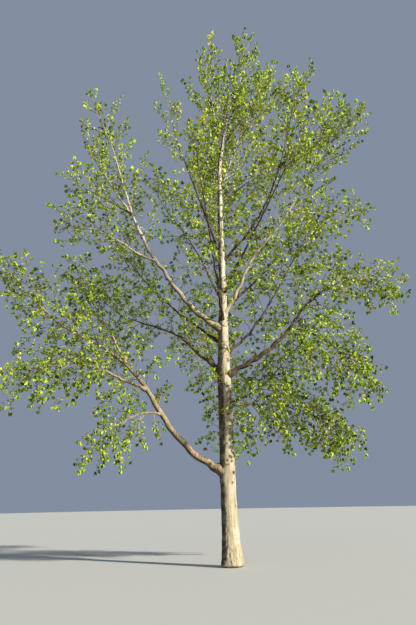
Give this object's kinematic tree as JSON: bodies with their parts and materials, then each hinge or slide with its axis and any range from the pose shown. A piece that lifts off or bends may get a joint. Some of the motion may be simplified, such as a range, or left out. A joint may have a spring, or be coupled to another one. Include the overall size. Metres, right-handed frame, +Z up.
{
  "type": "poplar tree",
  "caption": "Young broadleaf tree in spring leaf: one tapering trunk with a root flare, long rising boughs and an open, rounded crown, cut flat at ground level",
  "frame": {"origin": "middle of the flat cut of the trunk at ground level, where the trunk stands on the ground", "axes": "+Z up the trunk, +X to the right and -Y towards somebody who sees the tree from its open side, where the lowest long bough leaves to the left"},
  "size_m": [11.0863, 9.0772, 15.7147],
  "materials": {
    "trunk_bark": "smooth cream-grey bark with dark diamond-shaped pores, rougher and greyer at the root flare",
    "bough_bark": "smooth tan bark, paler above and darker beneath",
    "foliage": "soft satin yellow-green young leaves"
  },
  "bodies": {
    "root": {"trunk": "trunk_bark", "bough_left_low": "bough_bark", "bough_left_low_side": "bough_bark", "bough_left_low_droop": "bough_bark", "bough_left_low_back": "bough_bark", "bough_left_mid": "bough_bark", "bough_left_high": "bough_bark", "bough_left_high_side": "bough_bark", "bough_left_high_outer": "bough_bark", "bough_left_high_back": "bough_bark", "bough_left_upper": "bough_bark", "bough_left_inner": "bough_bark", "bough_right_low": "bough_bark", "bough_right_low_droop": "bough_bark", "bough_right_drape": "bough_bark", "bough_right_mid": "bough_bark", "bough_right_pale": "bough_bark", "bough_right_pale_side": "bough_bark", "bough_right_high": "bough_bark", "bough_right_high_side": "bough_bark", "bough_right_cross": "bough_bark", "bough_front_left": "bough_bark", "bough_front_right": "bough_bark", "bough_front_high": "bough_bark", "bough_back_low": "bough_bark", "bough_back_left": "bough_bark", "bough_back_right": "bough_bark", "bough_back_high": "bough_bark", "foliage_left_low": "foliage", "foliage_left_low_side": "foliage", "foliage_left_low_droop": "foliage", "foliage_left_low_back": "foliage", "foliage_left_mid": "foliage", "foliage_left_high": "foliage", "foliage_left_high_side": "foliage", "foliage_left_high_outer": "foliage", "foliage_left_high_back": "foliage", "foliage_left_upper": "foliage", "foliage_left_inner": "foliage", "foliage_left_leader": "foliage", "foliage_right_low": "foliage", "foliage_right_low_droop": "foliage", "foliage_right_spur": "foliage", "foliage_right_drape": "foliage", "foliage_right_mid": "foliage", "foliage_right_pale": "foliage", "foliage_right_pale_side": "foliage", "foliage_right_high": "foliage", "foliage_right_high_side": "foliage", "foliage_right_cross": "foliage", "foliage_right_leader": "foliage", "foliage_top_right": "foliage", "foliage_front_left": "foliage", "foliage_front_right": "foliage", "foliage_front_high": "foliage", "foliage_back_low": "foliage", "foliage_back_left": "foliage", "foliage_back_right": "foliage", "foliage_back_high": "foliage", "foliage_leader": "foliage"}
  },
  "joints": []
}
